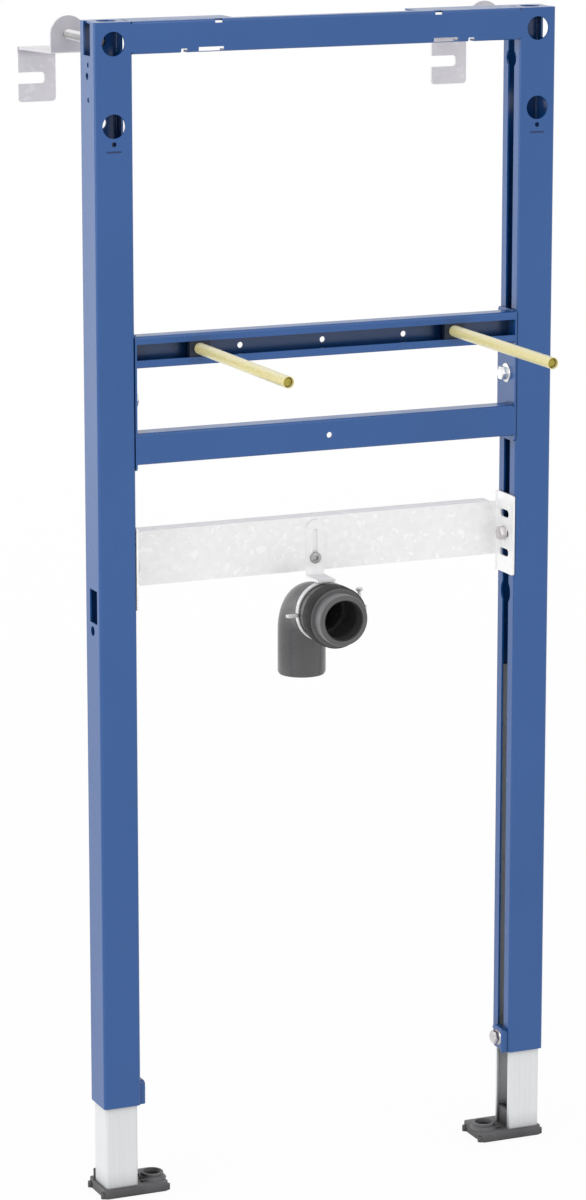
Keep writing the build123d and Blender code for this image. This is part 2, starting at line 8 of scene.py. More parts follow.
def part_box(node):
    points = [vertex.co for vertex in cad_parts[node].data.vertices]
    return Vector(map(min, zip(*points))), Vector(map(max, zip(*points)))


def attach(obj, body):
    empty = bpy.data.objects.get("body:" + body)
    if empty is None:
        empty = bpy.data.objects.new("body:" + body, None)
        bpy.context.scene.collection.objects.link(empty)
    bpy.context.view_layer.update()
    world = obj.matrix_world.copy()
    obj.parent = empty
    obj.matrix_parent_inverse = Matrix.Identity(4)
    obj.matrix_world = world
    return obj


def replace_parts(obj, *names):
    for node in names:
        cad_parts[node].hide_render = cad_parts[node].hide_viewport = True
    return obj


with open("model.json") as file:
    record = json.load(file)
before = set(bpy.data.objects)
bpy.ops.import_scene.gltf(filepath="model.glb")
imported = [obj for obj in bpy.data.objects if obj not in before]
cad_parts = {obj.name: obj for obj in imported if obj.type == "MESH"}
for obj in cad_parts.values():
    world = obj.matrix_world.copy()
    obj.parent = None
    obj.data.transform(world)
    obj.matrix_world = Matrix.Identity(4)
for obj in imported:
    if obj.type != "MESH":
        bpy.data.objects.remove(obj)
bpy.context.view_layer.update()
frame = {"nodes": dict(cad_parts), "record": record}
nodes = frame["nodes"]
mounts = {mount["name"]: mount for mount in frame["record"]["mounts"]}

# Uprights: lipped channel, roll-formed from steel sheet, punched and then powder coated blue.
# The coat is satin with a fine orange peel. A short tick is printed under the lower front hole.

COAT_BLUE = (0.010, 0.084, 0.294, 1)
COAT_DEEP = (0.007, 0.077, 0.276, 1)
# Depth over which the coat is painted darker in recesses: painted shade.
COAT_RECESS_SHADE = 0.02
TICK_INK = (0.006, 0.022, 0.085, 1)
TICK_INK_THIN = (0.012, 0.040, 0.140, 1)
TICK_LENGTH = 0.0155
TICK_HEIGHT = 0.0018
TICK_DROP = 0.0250
TICK_PROUD = 0.00006


def new_material(name, roughness, metallic=0.0):
    """A node material with its shader and an Object coordinate ready to link."""
    material = bpy.data.materials.new(name)
    material.use_nodes = True
    shader = material.node_tree.nodes["Principled BSDF"]
    shader.inputs["Roughness"].default_value = roughness
    shader.inputs["Metallic"].default_value = metallic
    place = material.node_tree.nodes.new("ShaderNodeTexCoord")
    return material, shader, place.outputs["Object"]


def noise(material, place, scale, detail=2.0):
    """A noise texture on the piece's own coordinates."""
    texture = material.node_tree.nodes.new("ShaderNodeTexNoise")
    texture.inputs["Scale"].default_value = scale
    texture.inputs["Detail"].default_value = detail
    material.node_tree.links.new(place, texture.inputs["Vector"])
    return texture.outputs["Fac"]


def ramp(material, factor, stops):
    """A colour ramp over a factor, from (position, colour) stops."""
    node = material.node_tree.nodes.new("ShaderNodeValToRGB")
    while len(node.color_ramp.elements) < len(stops):
        node.color_ramp.elements.new(0.5)
    for element, (position, colour) in zip(node.color_ramp.elements, stops):
        element.position = position
        element.color = colour
    material.node_tree.links.new(factor, node.inputs["Fac"])
    return node.outputs["Color"]


def bump(material, shader, height, strength, distance):
    """Surface relief from a height."""
    node = material.node_tree.nodes.new("ShaderNodeBump")
    node.inputs["Strength"].default_value = strength
    node.inputs["Distance"].default_value = distance
    material.node_tree.links.new(height, node.inputs["Height"])
    material.node_tree.links.new(node.outputs["Normal"], shader.inputs["Normal"])


def painted_recess_shade(material, colour, depth):
    """Painted shade: a colour that darkens in recesses and between parts, by ambient occlusion."""
    node = material.node_tree.nodes.new("ShaderNodeAmbientOcclusion")
    node.samples = 4
    node.inputs["Distance"].default_value = depth
    material.node_tree.links.new(colour, node.inputs["Color"])
    return node.outputs["Color"]


def facing(material, axis):
    """How far a face looks along an axis: 0 straight against it, 0.5 across it, 1 straight along it."""
    surface = material.node_tree.nodes.new("ShaderNodeNewGeometry")
    parts = material.node_tree.nodes.new("ShaderNodeSeparateXYZ")
    material.node_tree.links.new(surface.outputs["Normal"], parts.inputs["Vector"])
    share = material.node_tree.nodes.new("ShaderNodeMapRange")
    share.inputs["From Min"].default_value = -1
    material.node_tree.links.new(parts.outputs[axis], share.inputs["Value"])
    return share.outputs["Result"]


def blended(material, factor, colour, over):
    """A colour that gives way to a second, plain one by a factor."""
    mix = material.node_tree.nodes.new("ShaderNodeMix")
    mix.data_type = "RGBA"
    material.node_tree.links.new(factor, mix.inputs["Factor"])
    material.node_tree.links.new(colour, mix.inputs["A"])
    mix.inputs["B"].default_value = over
    return mix.outputs["Result"]


def grey(value):
    return (value, value, value, 1)


def coat_material(name, recess_shade):
    material, shader, place = new_material(name, 0.25)
    shader.inputs["IOR"].default_value = 1.6
    colour = ramp(material, noise(material, place, 6.0), [(0.35, COAT_DEEP), (0.65, COAT_BLUE)])
    # Painted shade: the coat's colour darkens in recesses and between parts.
    material.node_tree.links.new(painted_recess_shade(material, colour, recess_shade), shader.inputs["Base Color"])
    sheen = ramp(material, noise(material, place, 40.0), [(0.3, grey(0.22)), (0.7, grey(0.28))])
    material.node_tree.links.new(sheen, shader.inputs["Roughness"])
    bump(material, shader, noise(material, place, 900.0), 0.10, 0.0003)
    return material


def ink_material():
    material, shader, place = new_material("printed_ink", 0.5)
    colour = ramp(material, noise(material, place, 1800.0), [(0.35, TICK_INK), (0.7, TICK_INK_THIN)])
    material.node_tree.links.new(colour, shader.inputs["Base Color"])
    return material


def paint(material, *names):
    """Gives CAD nodes a finished material."""
    for name in names:
        slots = nodes[name].data.materials
        slots.clear()
        slots.append(material)


def new_piece(name, mesh, material, body):
    """Turns a finished bmesh into a piece that rides on a body."""
    data = bpy.data.meshes.new(name)
    mesh.to_mesh(data)
    mesh.free()
    data.materials.append(material)
    piece = bpy.data.objects.new(name, data)
    bpy.context.scene.collection.objects.link(piece)
    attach(piece, body)
    return piece


def printed_tick(name, hole):
    """A rounded bar of ink on the upright's front face, under a hole."""
    mesh = bmesh.new()
    place = Matrix.Translation((hole[0], front_face - TICK_PROUD, hole[2] - TICK_DROP))
    size = Matrix.Diagonal((TICK_LENGTH, TICK_HEIGHT, 1, 1))
    bmesh.ops.create_grid(mesh, x_segments=1, y_segments=1, size=0.5,
                          matrix=place @ Matrix.Rotation(pi / 2, 4, "X") @ size)
    bmesh.ops.bevel(mesh, geom=mesh.verts[:], offset=TICK_HEIGHT / 3, segments=3, profile=0.5,
                    affect="VERTICES", material=-1)
    return new_piece(name, mesh, ink, "frame")


coat = coat_material("blue_powder_coat", COAT_RECESS_SHADE)
ink = ink_material()
paint(coat, "left_upright", "right_upright")
front_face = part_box("left_upright")[0].y
printed_tick("left_tick", mounts["left_access_hole"]["pos_m"])
printed_tick("right_tick", mounts["right_access_hole"]["pos_m"])

# Top bar: a pressed channel of the same sheet, welded between the uprights before coating.
# Its welds run down the back of the front web. On the front the seams are ground flush.

SHEET = 0.002
WELD_R = 0.0015
WELD_STEP = 0.0016
GROUND_WIDTH = 0.0060
GROUND_DEPTH = 0.0012
GROUND_DROP = 0.00003
SHARP = radians(35)


def weld(mesh, start, end):
    """A run of weld: overlapping beads from one point to another."""
    run = Vector(end) - Vector(start)
    beads = round(run.length / WELD_STEP)
    for bead in range(beads + 1):
        spot = Vector(start) + run * (bead / beads)
        bmesh.ops.create_icosphere(mesh, subdivisions=2, radius=WELD_R, matrix=Matrix.Translation(spot))


def ground_weld(x, z0, z1):
    """A weld ground flush that fills the seam between two front faces."""
    shape = bmesh.new()
    place = Matrix.Translation((x, front_face + GROUND_DROP + GROUND_DEPTH / 2, (z0 + z1) / 2))
    size = Matrix.Diagonal((GROUND_WIDTH, GROUND_DEPTH, z1 - z0, 1))
    bmesh.ops.create_cube(shape, size=1, matrix=place @ size)
    return shape


def smooth(mesh):
    for face in mesh.faces:
        face.smooth = True


def join(mesh, shape, place=Matrix.Identity(4)):
    """Adds a shape to a piece at its place."""
    bmesh.ops.remove_doubles(shape, verts=shape.verts, dist=0.000001)
    bmesh.ops.recalc_face_normals(shape, faces=shape.faces)
    bmesh.ops.transform(shape, matrix=place, verts=shape.verts)
    smooth(shape)
    data = bpy.data.meshes.new("shape")
    shape.to_mesh(data)
    shape.free()
    data.set_sharp_from_angle(angle=SHARP)
    mesh.from_mesh(data)
    bpy.data.meshes.remove(data)


paint(coat, "top_bar")
bar_low, bar_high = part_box("top_bar")
top_welds = bmesh.new()
for end_x in (bar_low.x, bar_high.x):
    weld(top_welds, (end_x, bar_low.y + SHEET, bar_low.z + 2 * SHEET),
         (end_x, bar_low.y + SHEET, bar_high.z - 2 * SHEET))
    weld(top_welds, (end_x, bar_low.y + 4 * SHEET, bar_high.z - SHEET),
         (end_x, bar_high.y - SHEET, bar_high.z - SHEET))
smooth(top_welds)
for end_x in (bar_low.x, bar_high.x):
    join(top_welds, ground_weld(end_x, bar_low.z + SHEET, bar_high.z - SHEET))
new_piece("top_bar_welds", top_welds, coat, "frame")

# Basin traverse: a lipped rail and a plain bar, welded between two flat end plates and coated.
# The welds go round the back corners of both bars. The end plates get a shallower painted shade in their
# recesses, so their inner faces stay a little lighter.

END_PLATE_RECESS_SHADE = 0.003

paint(coat, "basin_rail", "lower_bar")
# The end plates' coat is painted darker in recesses over a shorter depth: painted shade.
paint(coat_material("end_plate_coat", END_PLATE_RECESS_SHADE), "left_rail_end_plate", "right_rail_end_plate")
traverse_welds = bmesh.new()
for bar in ("basin_rail", "lower_bar"):
    bar_low, bar_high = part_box(bar)
    for end_x in (bar_low.x, bar_high.x):
        for edge_z in (bar_low.z, bar_high.z):
            weld(traverse_welds, (end_x, bar_low.y + 3 * SHEET, edge_z), (end_x, bar_high.y - SHEET, edge_z))
weld_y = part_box("basin_rail")[1].y
for end_x in (bar_low.x, bar_high.x):
    rail_low, rail_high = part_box("basin_rail")
    weld(traverse_welds, (end_x, weld_y, rail_low.z + SHEET), (end_x, weld_y, rail_high.z - SHEET))
smooth(traverse_welds)
new_piece("traverse_welds", traverse_welds, coat, "frame")

# Traverse bolts: hexagon bolts with a round flange, cold-headed steel with bright zinc plating.
# Each goes through its end plate and the upright's slot into a plated slide nut behind the lips.

BOLT_R = 0.004
BOLT_TIP = 0.0008
HEAD_R = 0.0075
HEAD_HEIGHT = 0.0055
HEAD_EDGE = 0.0006
HEAD_DISH = 0.0005
FLANGE_THICKNESS = 0.0016
RAIL_FLANGE_R = 0.010


def zinc_material(name, dark, light):
    material, shader, place = new_material(name, 0.28, 0.85)
    tone = ramp(material, noise(material, place, 220.0, 4.0), [(0.3, dark), (0.7, light)])
    material.node_tree.links.new(tone, shader.inputs["Base Color"])
    sheen = ramp(material, noise(material, place, 90.0), [(0.3, grey(0.22)), (0.7, grey(0.36))])
    material.node_tree.links.new(sheen, shader.inputs["Roughness"])
    return material


def turned(outline, steps=40, closed=False):
    """Turns an outline of (radius, height) points about Z."""
    shape = bmesh.new()
    points = [shape.verts.new((radius, 0, height)) for radius, height in outline]
    lines = [shape.edges.new(pair) for pair in zip(points, points[1:])]
    if closed:
        lines.append(shape.edges.new((points[-1], points[0])))
    bmesh.ops.spin(shape, geom=points + lines, cent=(0, 0, 0), axis=(0, 0, 1), angle=2 * pi, steps=steps,
                   use_merge=True)
    return shape


def hexagon(radius, height, edge, dish):
    """A hexagon standing on Z = 0, chamfered and dished on top."""
    shape = bmesh.new()
    bmesh.ops.create_cone(shape, cap_ends=True, segments=6, radius1=radius, radius2=radius, depth=height,
                          matrix=Matrix.Translation((0, 0, height / 2)))
    top = max(shape.faces, key=lambda face: face.calc_center_median().z)
    bmesh.ops.bevel(shape, geom=top.edges[:], offset=edge, segments=3, profile=0.5, affect="EDGES",
                    material=-1)
    top = max(shape.faces, key=lambda face: face.calc_center_median().z)
    bmesh.ops.inset_individual(shape, faces=[top], thickness=3 * dish, depth=-dish)
    return shape


def slot_bolt(name, node, flange_r, plating):
    """A hexagon flange bolt in place of a CAD bolt, its head towards the middle of the frame."""
    low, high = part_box(node)
    inwards = 1 if low.x < 0 else -1
    head_end = high.x if inwards > 0 else low.x
    seat = head_end - inwards * (HEAD_HEIGHT + FLANGE_THICKNESS)
    shank = high.x - low.x - HEAD_HEIGHT - FLANGE_THICKNESS
    place = Matrix.Translation((seat, 0, (low.z + high.z) / 2)) @ Matrix.Rotation(inwards * pi / 2, 4, "Y")
    mesh = bmesh.new()
    third = FLANGE_THICKNESS / 3
    join(mesh, turned([(0, 0), (flange_r, 0), (flange_r, third), (flange_r - third, 2 * third),
                       (HEAD_R, FLANGE_THICKNESS), (0, FLANGE_THICKNESS)]), place)
    join(mesh, hexagon(HEAD_R, HEAD_HEIGHT, HEAD_EDGE, HEAD_DISH),
         place @ Matrix.Translation((0, 0, FLANGE_THICKNESS)))
    join(mesh, turned([(0, -shank), (BOLT_R - BOLT_TIP, -shank), (BOLT_R, BOLT_TIP - shank),
                       (BOLT_R, 0)]), place)
    piece = new_piece(name, mesh, plating, "frame")
    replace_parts(piece, node)


zinc = zinc_material("bright_zinc", grey(0.76), grey(0.90))
# A darker zinc for the waste plate and leg bolts.
darker_zinc = zinc_material("darker_zinc", (0.58, 0.55, 0.56, 1), (0.70, 0.67, 0.68, 1))
for side in ("left", "right"):
    slot_bolt(side + "_traverse_hex_bolt", side + "_rail_bolt", RAIL_FLANGE_R, zinc)
    paint(zinc, side + "_rail_nut")

# Basin rods: yellow-chromated M10 threaded rods in square nuts, which slide in the rail behind its lips.
# Each wears a thin extruded sleeve of pale yellow plastic, a little see-through, open at its tip.

ROD_PITCH = 0.0015
ROD_ROOT = 0.0042
ROD_TIP = 0.0010
THREAD_STEPS = 18
TIP_TAPER = 0.9
RIM_TAPER = 0.98
SLEEVE_WALL = 0.0008
SLEEVE_TIP = 0.0003
ROUND_STEPS = 48
SLEEVE_YELLOW = (0.84, 0.74, 0.30, 1)
SLEEVE_PALE = (0.90, 0.83, 0.48, 1)
SLEEVE_FLECK = (0.70, 0.59, 0.22, 1)
# Colour of the painted highlight on the sleeve's top and bottom.
SLEEVE_PAINTED_HIGHLIGHT = (0.90, 0.84, 0.55, 1)
CHROMATE_DARK = (0.34, 0.28, 0.05, 1)
CHROMATE_LIGHT = (0.46, 0.39, 0.09, 1)
# Near-black tones for the rod nuts: painted shadow inside the rail.
NUT_PAINTED_SHADOW = (0.004, 0.009, 0.026, 1)
NUT_PAINTED_SHADOW_LIGHT = (0.007, 0.015, 0.040, 1)


def shadow_nut_material():
    material, shader, place = new_material("painted_shadow_nut", 0.45)
    tone = ramp(material, noise(material, place, 160.0), [(0.3, NUT_PAINTED_SHADOW), (0.7, NUT_PAINTED_SHADOW_LIGHT)])
    material.node_tree.links.new(tone, shader.inputs["Base Color"])
    return material


def sleeve_material():
    material, shader, place = new_material("yellow_sleeve", 0.22)
    tone = ramp(material, noise(material, place, 260.0, 3.0),
                [(0.22, SLEEVE_FLECK), (0.34, SLEEVE_YELLOW), (0.75, SLEEVE_PALE)])
    # Painted highlight: the tube's top and bottom faces are painted paler.
    painted_edge_highlight = ramp(material, facing(material, "Z"), [(0.12, grey(0.75)), (0.34, grey(0.0)), (0.72, grey(0.0)),
                                                  (0.93, grey(0.9))])
    tone = blended(material, painted_edge_highlight, tone, SLEEVE_PAINTED_HIGHLIGHT)
    material.node_tree.links.new(tone, shader.inputs["Base Color"])
    shader.inputs["Transmission Weight"].default_value = 0.15
    shader.inputs["IOR"].default_value = 1.35
    return material


def thread(crest, root, pitch, length, tip):
    """A threaded bar along Z from 0 to length, with a chamfer at each end."""
    shape = bmesh.new()
    ridge = [shape.verts.new(spot) for spot in ((root, 0, 0), (crest, 0, pitch / 2), (root, 0, pitch))]
    lines = [shape.edges.new(pair) for pair in zip(ridge, ridge[1:])]
    turns = int((length - 2 * tip) / pitch) - 1
    bmesh.ops.translate(shape, verts=ridge, vec=(0, 0, tip))
    bmesh.ops.spin(shape, geom=ridge + lines, cent=(0, 0, 0), axis=(0, 0, 1),
                   dvec=(0, 0, pitch / THREAD_STEPS), angle=2 * pi * turns, steps=THREAD_STEPS * turns)
    for end, inward in ((0, 1), (length, -1)):
        rim = end + inward * tip
        flip = Matrix.Rotation(0 if inward > 0 else pi, 4, "X")
        place = Matrix.Translation((0, 0, (end + rim) / 2)) @ flip
        bmesh.ops.create_cone(shape, cap_ends=True, segments=THREAD_STEPS, radius1=TIP_TAPER * root,
                              radius2=RIM_TAPER * crest, depth=tip, matrix=place)
    bmesh.ops.create_cone(shape, cap_ends=True, segments=THREAD_STEPS, radius1=root, radius2=root,
                          depth=length - 2 * tip, matrix=Matrix.Translation((0, 0, length / 2)))
    return shape


chromate = zinc_material("yellow_chromate", CHROMATE_DARK, CHROMATE_LIGHT)
shadow_nut = shadow_nut_material()
sleeve = sleeve_material()
FORWARD = Matrix.Rotation(pi / 2, 4, "X")
for side in ("left", "right"):
    low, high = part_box(side + "_basin_rod")
    rod_r = (high.x - low.x) / 2
    back = Matrix.Translation(((low.x + high.x) / 2, high.y, (low.z + high.z) / 2)) @ FORWARD
    rod_mesh = bmesh.new()
    join(rod_mesh, thread(rod_r, ROD_ROOT, ROD_PITCH, high.y - low.y, ROD_TIP), back)
    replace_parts(new_piece(side + "_rod_thread", rod_mesh, chromate, "frame"),
                side + "_basin_rod")
    low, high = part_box(side + "_rod_sleeve")
    outer = (high.x - low.x) / 2
    length = high.y - low.y
    back = Matrix.Translation(((low.x + high.x) / 2, high.y, (low.z + high.z) / 2)) @ FORWARD
    tube_mesh = bmesh.new()
    join(tube_mesh, turned([(outer - SLEEVE_WALL, 0), (outer, 0), (outer, length - SLEEVE_TIP),
                            (outer - SLEEVE_TIP, length), (outer - SLEEVE_WALL, length)],
                            ROUND_STEPS, True), back)
    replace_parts(new_piece(side + "_sleeve_tube", tube_mesh, sleeve, "frame"),
                side + "_rod_sleeve")
    # The square nuts are real parts, but painted near-black: painted shadow round the rods' bases.
    paint(shadow_nut, side + "_rod_nut")

# Waste plate: a strip of hot-dip galvanised sheet with folded edges, left bare, its tabs bolted.
# The zinc is nearly white, with a faint spangle and small bright flecks painted in as glints where crystals
# face the light.

PLATE_FLANGE_R = 0.0075
# Greyer tone painted on faces that point up or down: painted shade.
FOLD_PAINTED_SHADE = (0.78, 0.76, 0.78, 1)
# Darker zinc painted above a given height: painted shadow.
TAB_PAINTED_SHADOW = (0.56, 0.54, 0.575, 1)
SHADOW_FADE = 0.006


def galvanised_material(name, dark, light, glint, spangle, shadow_above=0.0):
    material, shader, place = new_material(name, 0.42, 0.3)
    crystals = material.node_tree.nodes.new("ShaderNodeTexVoronoi")
    crystals.inputs["Scale"].default_value = spangle
    material.node_tree.links.new(place, crystals.inputs["Vector"])
    tone = ramp(material, crystals.outputs["Color"], [(0.2, dark), (0.8, light)])
    # Painted glints: small bright flecks in the zinc's colour.
    glint_flecks = ramp(material, noise(material, place, 110.0, 1.0), [(0.60, grey(0.0)), (0.66, grey(1.0))])
    tone = blended(material, glint_flecks, tone, glint)
    # Painted shadow: above a given height the zinc is painted darker.
    if shadow_above:
        height = material.node_tree.nodes.new("ShaderNodeSeparateXYZ")
        material.node_tree.links.new(place, height.inputs["Vector"])
        above = material.node_tree.nodes.new("ShaderNodeMapRange")
        above.inputs["From Min"].default_value = shadow_above
        above.inputs["From Max"].default_value = shadow_above + SHADOW_FADE
        material.node_tree.links.new(height.outputs["Z"], above.inputs["Value"])
        tone = blended(material, above.outputs["Result"], tone, TAB_PAINTED_SHADOW)
    # Painted shade: faces that point up or down, on the folds and flanges, are painted greyer.
    painted_fold_shade = ramp(material, facing(material, "Z"), [(0.25, grey(1.0)), (0.35, grey(0.0)), (0.65, grey(0.0)),
                                                   (0.75, grey(1.0))])
    tone = blended(material, painted_fold_shade, tone, FOLD_PAINTED_SHADE)
    material.node_tree.links.new(tone, shader.inputs["Base Color"])
    sheen = ramp(material, crystals.outputs["Color"], [(0.2, grey(0.36)), (0.8, grey(0.50))])
    material.node_tree.links.new(sheen, shader.inputs["Roughness"])
    bump(material, shader, noise(material, place, 350.0), 0.06, 0.0003)
    return material


galvanised = galvanised_material("galvanised_sheet", grey(0.90), grey(0.94), grey(1.0), 170.0)
paint(galvanised, "waste_plate")
for side in ("left", "right"):
    slot_bolt(side + "_plate_hex_bolt", side + "_waste_plate_bolt", PLATE_FLANGE_R, darker_zinc)
    paint(zinc, side + "_waste_plate_nut")

# Pipe clamp: a two-part band of thin plated strip on a slotted angle, which a screw holds to the plate.
# The band goes round the bend's socket. A long screw draws its right ears together.

BAND_R = 0.0293
BAND_Y = -0.008
BAND_WALL = 0.0018
BAND_WIDTH = 0.006
BAND_STEPS = 48
BAND_EDGE = 0.0004
BAND_SPLIT = 0.0008
EAR_THICKNESS = 0.0028
HINGE_EAR = 0.0127
SCREW_EAR = 0.017
PAD_WIDTH = 0.012
PAD_HEIGHT = 0.0003
CLAMP_SCREW_ROOT = 0.0016
CLAMP_SCREW_R = 0.0020
CLAMP_SCREW_PITCH = 0.0007
CLAMP_HEAD_R = 0.0036
CLAMP_HEAD_HEIGHT = 0.0035
CLAMP_NUT_HEIGHT = 0.003
PAN_R = 0.006
PAN_HEIGHT = 0.004
PAN_SHANK_R = 0.0025
PAN_SOCKET_R = 0.0022
PAN_SOCKET_DEPTH = 0.0025


def strip_ear(x0, x1, z0, z1):
    """A flat ear of the band with rounded edges."""
    shape = bmesh.new()
    bmesh.ops.create_cube(shape, size=1, matrix=Matrix.Translation(((x0 + x1) / 2, 0, (z0 + z1) / 2)) @
                          Matrix.Diagonal((x1 - x0, BAND_WIDTH, z1 - z0, 1)))
    bmesh.ops.bevel(shape, geom=shape.edges[:], offset=BAND_EDGE, segments=2, profile=0.5, affect="EDGES",
                    material=-1)
    return shape


def band_half(turn):
    """Half a band about Y: its section swept round by half a turn."""
    shape = bmesh.new()
    bmesh.ops.create_grid(shape, x_segments=1, y_segments=1, size=0.5,
                          matrix=Matrix.Translation((BAND_R + BAND_WALL / 2, 0, 0)) @
                          Matrix.Diagonal((BAND_WALL, BAND_WIDTH, 1, 1)))
    bmesh.ops.bevel(shape, geom=shape.verts[:], offset=BAND_EDGE, segments=2, profile=0.5, affect="VERTICES",
                    material=-1)
    bmesh.ops.spin(shape, geom=shape.faces[:] + shape.edges[:] + shape.verts[:], cent=(0, 0, 0),
                   axis=(0, -1, 0), angle=turn * pi, steps=BAND_STEPS)
    return shape


band_zinc = galvanised_material("band_zinc", grey(0.62), grey(0.74), grey(0.96), 420.0)
waste_axis = Vector((0, 0, mounts["waste_inlet"]["pos_m"][2]))
for half, node, turn in (("upper", "clamp_upper_half", 1), ("lower", "clamp_lower_half", -1)):
    band = bmesh.new()
    centre = Matrix.Translation(waste_axis + Vector((0, BAND_Y, 0)))
    join(band, band_half(turn), centre @ Matrix.Translation((0, 0, turn * BAND_SPLIT / 2)))
    inner, outer = sorted((turn * BAND_SPLIT / 2, turn * (BAND_SPLIT / 2 + EAR_THICKNESS)))
    join(band, strip_ear(BAND_R, BAND_R + SCREW_EAR, inner, outer), centre)
    if half == "upper":
        pad_top = BAND_R + BAND_WALL + PAD_HEIGHT
        join(band, strip_ear(-PAD_WIDTH / 2, PAD_WIDTH / 2, pad_top - EAR_THICKNESS / 2, pad_top), centre)
    else:
        join(band, strip_ear(-BAND_R - HINGE_EAR, -BAND_R, inner, outer), centre)
    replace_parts(new_piece(half + "_band", band, band_zinc, "frame"), node)

low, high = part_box("clamp_screw")
screw_place = Matrix.Translation(((low.x + high.x) / 2, (low.y + high.y) / 2, low.z))
screw_mesh = bmesh.new()
screw_length = high.z - low.z - CLAMP_HEAD_HEIGHT
join(screw_mesh, thread(CLAMP_SCREW_R, CLAMP_SCREW_ROOT, CLAMP_SCREW_PITCH, screw_length, BOLT_TIP),
     screw_place)
join(screw_mesh, hexagon(CLAMP_HEAD_R, CLAMP_HEAD_HEIGHT, HEAD_EDGE, HEAD_DISH),
     screw_place @ Matrix.Translation((0, 0, screw_length)))
nut_top = waste_axis.z - BAND_SPLIT / 2 - EAR_THICKNESS
join(screw_mesh, hexagon(CLAMP_HEAD_R, CLAMP_NUT_HEIGHT, HEAD_EDGE, HEAD_DISH),
     Matrix.Translation((screw_place.translation.x, screw_place.translation.y, nut_top)) @
     Matrix.Rotation(pi, 4, "X"))
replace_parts(new_piece("clamp_long_screw", screw_mesh, zinc, "frame"), "clamp_screw")

low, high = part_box("clamp_bracket_screw")
pan_place = Matrix.Translation((0, low.y + PAN_HEIGHT, (low.z + high.z) / 2)) @ FORWARD
socket_floor = PAN_HEIGHT - PAN_SOCKET_DEPTH
pan_mesh = bmesh.new()
join(pan_mesh, turned([(0, 0), (PAN_R, 0), (PAN_R, 0.3 * PAN_HEIGHT), (0.9 * PAN_R, 0.7 * PAN_HEIGHT),
                       (0.6 * PAN_R, PAN_HEIGHT), (PAN_SOCKET_R, PAN_HEIGHT), (PAN_SOCKET_R, socket_floor),
                       (0, socket_floor)]), pan_place)
shank = high.y - low.y - PAN_HEIGHT
join(pan_mesh, turned([(0, -shank), (PAN_SHANK_R, -shank), (PAN_SHANK_R, 0)]), pan_place)
dull_zinc = zinc_material("dull_zinc", grey(0.34), grey(0.46))
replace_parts(new_piece("bracket_pan_screw", pan_mesh, dull_zinc, "frame"),
            "clamp_bracket_screw")
paint(galvanised, "clamp_bracket")

# Waste bend: injection-moulded in dark grey plastic, glossy from a polished mould.
# A darker rubber collar sits round the socket's mouth, and the plain pipe end below has a chamfered rim.

PIPE_R = 0.025
PIPE_BORE = 0.022
SOCKET_R = 0.029
SOCKET_BORE = 0.0255
COLLAR_R = 0.032
COLLAR_ROUND = 0.0012
MOUTH_Y = -0.043
COLLAR_Y = -0.024
SHOULDER_Y = -0.003
SOCKET_Y = 0.001
TURN_Y = 0.018
TURN_R = 0.032
PIPE_END = -0.077
RIM = 0.0012
BEND_SEGMENTS = 72
BEND_STEPS = 28
PLASTIC_DARK = (0.098, 0.095, 0.098, 1)
PLASTIC_GREY = (0.120, 0.116, 0.120, 1)
COLLAR_DARK = (0.030, 0.029, 0.030, 1)
COLLAR_GREY = (0.040, 0.039, 0.040, 1)


def plastic_material(name, dark, light, gloss, specular, shade=0.0):
    material, shader, place = new_material(name, gloss)
    shader.inputs["Specular IOR Level"].default_value = specular
    tone = ramp(material, noise(material, place, 35.0), [(0.3, dark), (0.7, light)])
    if shade:
        # Painted shade: with a shade depth, the colour darkens in recesses.
        tone = painted_recess_shade(material, tone, shade)
    material.node_tree.links.new(tone, shader.inputs["Base Color"])
    sheen = ramp(material, noise(material, place, 120.0, 3.0),
                 [(0.3, grey(0.85 * gloss)), (0.7, grey(1.2 * gloss))])
    material.node_tree.links.new(sheen, shader.inputs["Roughness"])
    bump(material, shader, noise(material, place, 1300.0), 0.08, 0.0002)
    return material


def grow(shape, ring, change):
    """Extrudes a ring of edges and transforms the new ring."""
    grown = bmesh.ops.extrude_edge_only(shape, edges=ring)["geom"]
    moved = [item for item in grown if isinstance(item, bmesh.types.BMVert)]
    bmesh.ops.transform(shape, matrix=change, verts=moved)
    return [item for item in grown if isinstance(item, bmesh.types.BMEdge)
            and all(vert in grown for vert in item.verts)]


def along_pipe(shape, ring, centre, axis, stations):
    """Grows a ring through (distance, radius) stations along an axis, from the first one on."""
    for (start, wide), (end, next_wide) in zip(stations, stations[1:]):
        spread = next_wide / wide
        scale = Vector((spread, spread, spread))
        scale[axis] = 1
        shift = Vector((0, 0, 0))
        shift[axis] = end - start
        about = Matrix.Translation(centre)
        widen = about @ Matrix.Diagonal((*scale, 1)) @ about.inverted()
        ring = grow(shape, ring, Matrix.Translation(shift) @ widen)
    return ring


def round_bend(shape, ring, angle):
    """Sweeps a ring round the quarter bend and gives its last ring."""
    verts = list({vert for edge in ring for vert in edge.verts})
    swept = bmesh.ops.spin(shape, geom=verts + ring, cent=(0, TURN_Y, -TURN_R), axis=(1, 0, 0), angle=angle,
                           steps=BEND_STEPS)
    return [item for item in swept["geom_last"] if isinstance(item, bmesh.types.BMEdge)]


